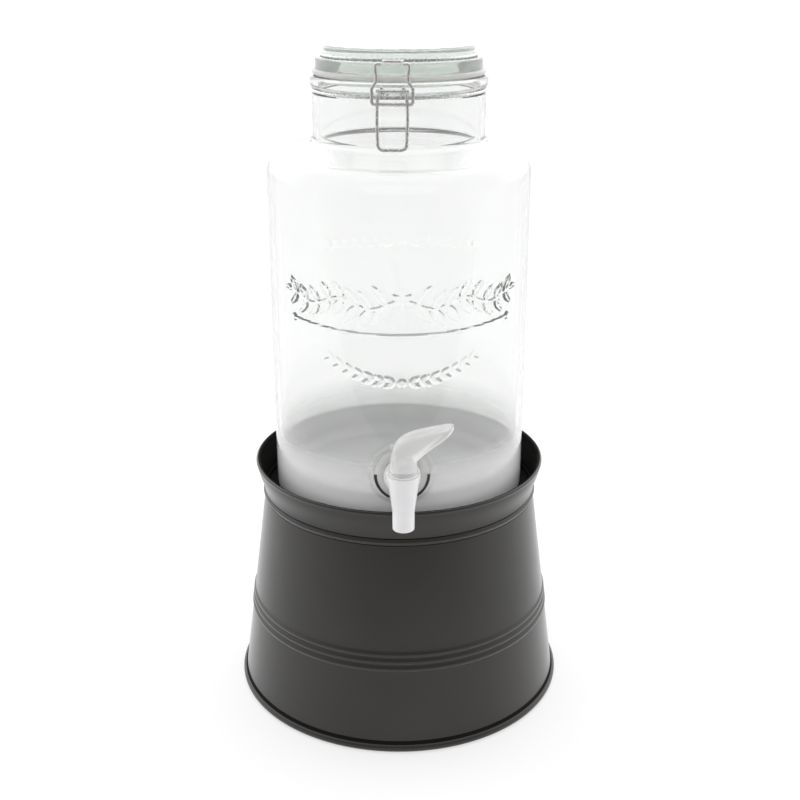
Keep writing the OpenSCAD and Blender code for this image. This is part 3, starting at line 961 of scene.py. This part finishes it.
def make_lid():
    """A flange with a raised disc on top and a sleeve below that fits inside the neck."""
    flange_z, top_z = gasket_high.z, lid_high.z
    step_z = top_z - DISC_H
    roof_z = step_z + HOLLOW_ROOF
    foot_z = flange_z - SLEEVE_H
    line = filleted([
        (0, top_z), (DISC_R, top_z, 1.4), (DISC_R, step_z, 0.6), (LID_R, step_z, 1.4),
        (LID_R, flange_z, 1.0), (SLEEVE_R + 0.6, flange_z, 0.5), (SLEEVE_R, foot_z, 1.2),
        (SLEEVE_R - 3.2, foot_z, 1.2), (SLEEVE_R - 4.4, flange_z, 2), (SLEEVE_R - 9, roof_z, 3),
        (0, roof_z),
    ], 6)
    lid = turned_about_neck(lathe("lid", line, 192, ring=False))
    add(lid, "lid", "lid_glass", LID_GLASS, "lid_glass")


def make_gasket():
    inner, outer = GASKET_R
    line = filleted([
        (inner, gasket_low.z, 0.4), (outer, gasket_low.z, 1.5), (outer, gasket_high.z, 1.5),
        (inner, gasket_high.z, 0.4), (inner, gasket_low.z + 1),
    ], 5)[1:]
    add(turned_about_neck(lathe("gasket", line, 160)), "lid", "gasket", GASKET, "lid_gasket")


# ---- Closure ----

NECK_RING_R, NECK_RING_Z = NECK_R + 0.1, LIP_Z - 9.2
LID_RING_R, LID_RING_Z = DISC_R + WIRE_R + 0.2, lid_high.z - DISC_H + WIRE_R + 0.05
PIVOT_HALF = 9.9             # half the length of the latch's pivot bar
EYE_X = 5                    # the two arms that carry it
PIN_HALF = 7.4               # half the width of the hinge's loop behind the neck
COIL_X = (3.6, 1.4)          # the lid wire's coils on the hinge pin
LOOP_HALF = 6                # half the width of the lid wire's front loop
LEVER_LEAN = 0.075           # how far the lever leans out for each step down
LEVER_L = 36.4
BAIL_HALF = 13.1


def make_neck_wire():
    """The ring under the lip, the latch's pivot bar with its two arms, and the hinge's loop."""
    ring_r, ring_z = NECK_RING_R, NECK_RING_Z
    strands = [(circle_path(ring_r, ring_z), WIRE_R, True)]
    bar_ends = [(-PIVOT_HALF, LATCH_Y, latch.z), (PIVOT_HALF, LATCH_Y, latch.z)]
    strands.append((bent(bar_ends), WIRE_R, False))
    for x in (-EYE_X, EYE_X):
        arm = [(x, 0.3 - ring_r, ring_z), (x, LATCH_Y + 1.4, ring_z + 1.1), (x, LATCH_Y, latch.z)]
        strands.append((bent(arm, 2), ARM_R, False))
    right = [
        (PIN_HALF, HINGE_Y, hinge.z), (PIN_HALF, HINGE_Y, ring_z), (PIN_HALF, ring_r - 0.9, ring_z),
    ]
    left = [(-x, y, z) for x, y, z in reversed(right)]
    strands.append((bent(left + right, 2.2), WIRE_R, False))
    add(wires("neck_clasp", strands), "jar", "steel_wire", STEEL, "neck_wire")


def make_lid_wire():
    """The ring on the lid's step, two arms that coil round the hinge pin, and the front loop."""
    ring_r, ring_z = LID_RING_R, LID_RING_Z
    strands = [(circle_path(ring_r, ring_z), WIRE_R, True)]
    arm_y = HINGE_Y + 2.5
    for side in (-1, 1):
        x, inner_x = side * COIL_X[0], side * COIL_X[1]
        arm = bent([(x, ring_r - 0.3, ring_z), (x, arm_y, ring_z), (x, arm_y, hinge.z + 1)], 3)[:-1]
        coil = loop_round((0, HINGE_Y, hinge.z), 10, -300, x, inner_x, 2 * ARM_R + 0.16)
        strands.append((arm + coil, ARM_R, False))
    loop_y = LATCH_Y + 2.2
    loop = [(-LOOP_HALF, 0.4 - ring_r, ring_z), (-LOOP_HALF, loop_y, ring_z),
            (LOOP_HALF, loop_y, ring_z), (LOOP_HALF, 0.4 - ring_r, ring_z)]
    strands.append((bent(loop, 2), ARM_R, False))
    add(wires("lid_clasp", strands), "lid", "steel_wire", STEEL, "lid_wire")


def lever_point(x, drop):
    return Vector((x, LATCH_Y - drop * LEVER_LEAN, latch.z - drop))


def make_lever():
    """A loop round the pivot bar at each side, and a long loop for the finger below."""
    coil = loop_round((0, LATCH_Y, latch.z), 60, -200, 6.9, 8.4)
    half = coil + [
        lever_point(9.6, latch.z - throw.z), lever_point(9.8, 19), lever_point(9.1, LEVER_L),
    ]
    other = [Vector((-p.x, p.y, p.z)) for p in reversed(half)]
    path = half[:-1] + bent([half[-2], half[-1], other[0], other[1]], 3.6)[1:-1] + other[1:]
    add(wires("latch_handle", [(path, WIRE_R, False)]), "lever", "steel_wire", STEEL, "latch_lever")


def make_bail():
    """A wire from the lever up to two hooks beside the lid wire's front loop."""
    top_z = LID_RING_Z - 1.4
    hook = LOOP_HALF + ARM_R + 0.3
    right = [(hook, THROW_Y, top_z), (11, THROW_Y, top_z), (10, THROW_Y, latch.z + 8),
             (10.1, THROW_Y, latch.z + 6), (BAIL_HALF, THROW_Y, latch.z + 1.6),
             (BAIL_HALF, THROW_Y, throw.z)]
    left = [(-x, y, z) for x, y, z in reversed(right)]
    bail = wires("latch_hook", [(bent(right + left, 1.8), WIRE_R, False)])
    add(bail, "bail", "steel_wire", STEEL, "latch_bail")


# ---- Tap ----

NOZZLE_Z = tap_low.z
BARREL_TOP = tap_high.z
NOZZLE_R, BARREL_R = 7.2, 10.4
TAPER_LOW_Z, TAPER_HIGH_Z = TAP_Z - 8, TAP_Z + 15    # the barrel widens between these
PLUG_R, OUTLET_R, INLET_R = 5.6, 5.0, 3.4
PLUG_FOOT_Z = TAP_Z - 5.8
FLANGE_Y = washer_low.y      # face of the washer that the tap's flange presses on
FLANGE_R = 12.5
SHANK_R = 8
SHANK_END_Y = tap_high.y
WASHER_BORE_R, WASHER_R = 8.1, 19
WASHER_FACE_R = 17           # where the washer's flat face ends
LIFT = 0.02                  # keeps two touching clear faces from sharing one plane


def rod(line):
    """A tool that bores the barrel."""
    return lathe_barrel("rod", line, 64)


def make_tap_body():
    barrel = filleted([
        (0, NOZZLE_Z), (NOZZLE_R, NOZZLE_Z, 0.6), (NOZZLE_R + 0.1, TAPER_LOW_Z, 4),
        (BARREL_R, TAPER_HIGH_Z, 6), (BARREL_R, BARREL_TOP, 0.7), (0, BARREL_TOP),
    ], 8)
    shank = filleted([
        (0, SHANK_END_Y), (SHANK_R, SHANK_END_Y, 0.6), (SHANK_R, FLANGE_Y - LIFT, 0.3),
        (FLANGE_R, FLANGE_Y - LIFT, 0.4), (FLANGE_R, FLANGE_Y - 3, 0.8),
        (FLANGE_R - 1.5, FLANGE_Y - 3.2, 0.8), (FLANGE_R - 1.5, FLANGE_Y - 6, 1.6),
        (SHANK_R, FLANGE_Y - 6, 1.2), (SHANK_R, BARREL_Y + 2), (0, BARREL_Y + 2),
    ], 6)
    body = lathe_barrel("tap_spigot", barrel)
    combine(body, lathe_y("shank", shank), "UNION")
    bore = [(0, PLUG_FOOT_Z), (PLUG_R, PLUG_FOOT_Z), (PLUG_R, BARREL_TOP + 5), (0, BARREL_TOP + 5)]
    combine(body, rod(bore), "DIFFERENCE")
    outlet = [(0, NOZZLE_Z - 2), (OUTLET_R + 0.5, NOZZLE_Z - 2), (OUTLET_R, NOZZLE_Z + 0.6),
              (OUTLET_R, PLUG_FOOT_Z + 1), (0, PLUG_FOOT_Z + 1)]
    combine(body, rod(outlet), "DIFFERENCE")
    inlet = [(0, SHANK_END_Y + 1), (INLET_R, SHANK_END_Y + 1), (INLET_R, BARREL_Y), (0, BARREL_Y)]
    combine(body, lathe_y("inlet", inlet, 48), "DIFFERENCE")
    add(body, "jar", "tap_plastic", TAP_PLASTIC, "tap_body")


PAINTED_SHADE_R = WASHER_FACE_R - 0.1
PAINTED_SHADE_Z = (-16, 1)            # heights of the painted shade on the washer's edge, from the shank's axis


def make_washer():
    line = filleted([
        (WASHER_BORE_R, PAD_Y - LIFT, 0.2), (WASHER_R, PAD_Y - LIFT, 0.6),
        (WASHER_R, FLANGE_Y, 0.8), (WASHER_FACE_R, FLANGE_Y),
        (WASHER_BORE_R, FLANGE_Y, 0.2), (WASHER_BORE_R, FLANGE_Y + 1),
    ], 5)[1:]
    ring = add(lathe_y("tap_ring", line, 128, ring=True),
               "jar", "clear_washer", WASHER, "tap_outer_washer")
    # Painted shade: the lower part of its outer edge gets the black rubber, for the dark stand seen
    # through the clear ring
    ring.data.materials.append(RUBBER)
    for face in ring.data.polygons:
        z = face.center.z / MM - TAP_Z
        if math.hypot(face.center.x / MM, z) > PAINTED_SHADE_R and PAINTED_SHADE_Z[0] < z < PAINTED_SHADE_Z[1]:
            face.material_index = 1


LEVER_Z = BARREL_TOP + 0.3   # underside of the lever's cap, a little above the barrel
KNOB_R, KNOB_H = 9.0, 14.3
PADDLE_REACH, PADDLE_RISE, PADDLE_HALF = 31.8, 33.9, 7.5


def bezier(points, t):
    a, b, c, d = (Vector(p) for p in points)
    return a * (1 - t) ** 3 + 3 * b * t * (1 - t) ** 2 + 3 * c * t * t * (1 - t) + d * t ** 3


def height_at(curve, u):
    """Height of a curve above the barrel, at a distance u out from the barrel's axis."""
    for a, b in zip(curve, curve[1:]):
        if a.x <= u <= b.x:
            return a.y + (b.y - a.y) * (u - a.x) / (b.x - a.x)
    return curve[-1].y if u > curve[-1].x else curve[0].y


def squared(part):
    """Turns a sine or cosine into that of a rounded square."""
    return math.copysign(abs(part) ** 0.55, part)


def make_paddle():
    """The lever's paddle, lofted from rounded cross-sections that stand across its length."""
    back, front = -KNOB_R + 1.2, KNOB_R - 1
    top = [bezier([(back, KNOB_H), (-3, 32.3), (14, 29.3), (PADDLE_REACH - 1, PADDLE_RISE)], k / 40)
           for k in range(41)]
    low = [bezier([(front, 10), (17, 19.5), (27, 25), (PADDLE_REACH, PADDLE_RISE - 3)], k / 40)
           for k in range(41)]
    bm = bmesh.new()
    rings = []
    count = 56
    for k in range(count + 1):
        share = 0.5 - 0.5 * math.cos(math.pi * k / count)
        u = back + (PADDLE_REACH - back) * share
        u = min(max(u, back + 0.02), PADDLE_REACH - 0.02)
        z_top, z_low = height_at(top, u), height_at(low, u)
        half = PADDLE_HALF
        tip = u - (PADDLE_REACH - PADDLE_HALF)
        if tip > 0:
            half = math.sqrt(PADDLE_HALF ** 2 - tip ** 2)
        elif u < 0:
            half = min(PADDLE_HALF, math.sqrt(KNOB_R ** 2 - u * u))
        ring = []
        for a in even_angles(32):
            y = half * squared(math.cos(a))
            z = (z_top + z_low) / 2 + (z_top - z_low) / 2 * squared(math.sin(a))
            ring.append(bm.verts.new((u, BARREL_Y + y, LEVER_Z + z)))
        rings.append(ring)
    join_rings(bm, rings)
    close_ends(bm, rings)
    return finish_mesh("paddle", bm)


def make_tap_lever():
    """The plug with its seal's groove, the cap on the barrel, the knob and the paddle."""
    plug_foot = PLUG_FOOT_Z + 0.3
    plug_r = PLUG_R - 0.08
    cap_r = BARREL_R - 0.6
    groove_r = plug_r - 1.1
    groove_low, groove_high = LEVER_Z - 5.9, LEVER_Z - 4.1
    line = filleted([
        (0, plug_foot), (plug_r, plug_foot, 0.3), (plug_r, groove_low), (groove_r, groove_low),
        (groove_r, groove_high), (plug_r, groove_high), (plug_r, LEVER_Z),
        (cap_r, LEVER_Z, 0.4), (cap_r, LEVER_Z + 2.6, 0.8), (KNOB_R, LEVER_Z + 2.8, 0.3),
        (KNOB_R - 0.7, LEVER_Z + KNOB_H, 2.4), (0, LEVER_Z + KNOB_H),
    ], 6)
    lever = lathe_barrel("tap_handle", line)
    combine(lever, make_paddle(), "UNION")
    sideways = Matrix.Rotation(math.pi / 2, 4, "Y")
    port = [(0, -20), (INLET_R, -20), (INLET_R, 0), (0, 0)]
    combine(lever, lathe("port", port, 48, False, (0, BARREL_Y, TAP_Z), sideways), "DIFFERENCE")
    drain_r = INLET_R - 0.2
    drain = [(0, plug_foot - 1), (drain_r, plug_foot - 1), (drain_r, TAP_Z), (0, TAP_Z)]
    combine(lever, rod(drain), "DIFFERENCE")
    add(lever, "tap_handle", "clear_plastic", CLEAR_PLASTIC, "tap_lever")


def dress_rest():
    """Materials for the small pieces that keep their CAD shape."""
    dress("foot_wire", STEEL)
    dress("rim_wire", STEEL)
    dress("tap_nut", TAP_PLASTIC)
    dress("tap_inner_washer", WASHER)
    dress("tap_seal", RUBBER)


set_camera()
set_world()
set_lights()
set_floor()
make_skirt()
make_collar()
make_plate()
make_jar()
make_lid()
make_gasket()
make_neck_wire()
make_lid_wire()
make_lever()
make_bail()
make_tap_body()
make_washer()
make_tap_lever()
dress_rest()

bpy.context.scene.view_settings.view_transform = "Standard"
bpy.context.scene.cycles.max_bounces = 24
bpy.context.scene.cycles.transmission_bounces = 20
bpy.context.scene.cycles.transparent_max_bounces = 16
